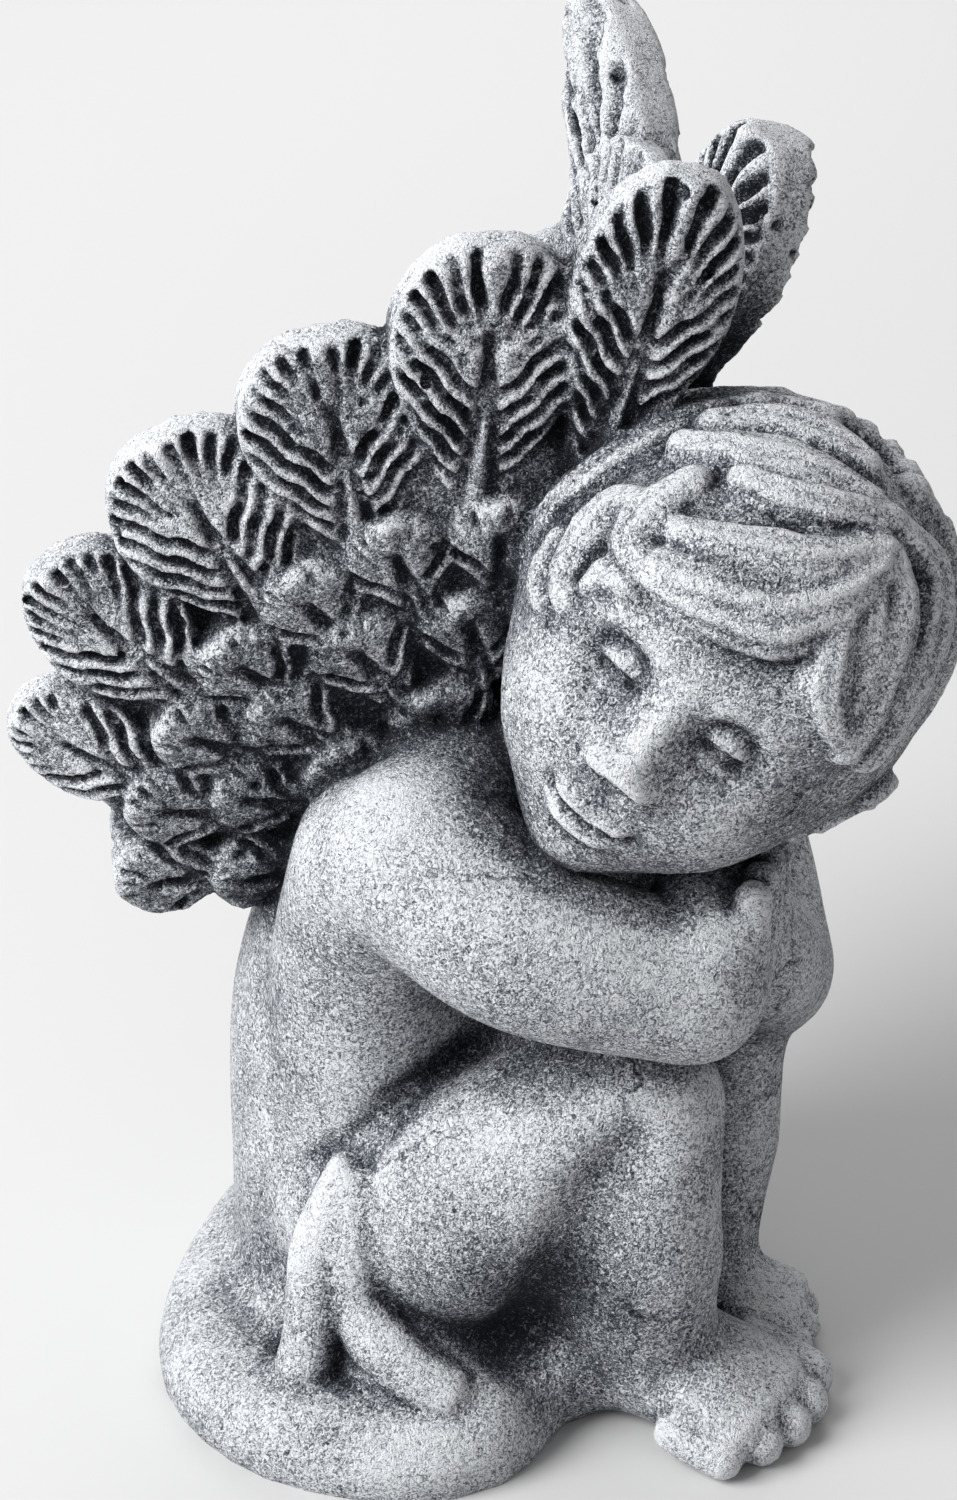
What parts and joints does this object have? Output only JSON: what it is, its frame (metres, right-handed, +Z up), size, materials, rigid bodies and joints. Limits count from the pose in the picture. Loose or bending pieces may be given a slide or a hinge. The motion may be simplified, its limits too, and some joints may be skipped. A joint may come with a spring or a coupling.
{
  "type": "stone putto statue",
  "caption": "Cast-stone garden putto: a seated winged child hugging its knees, head laid on its folded arms, on a flat underside.",
  "frame": {"origin": "point on the flat underside below the seat, on the figure's middle plane", "axes": "+Z up, -Y the way the figure's chest and knees face, +X to the figure's left"},
  "size_m": [0.1349, 0.1473, 0.2265],
  "materials": {
    "stone": "matt grey cast stone, dry-brushed near white on raised forms, with a dark slate wash in the recesses"
  },
  "bodies": {
    "root": {"putto": "stone"}
  },
  "joints": []
}
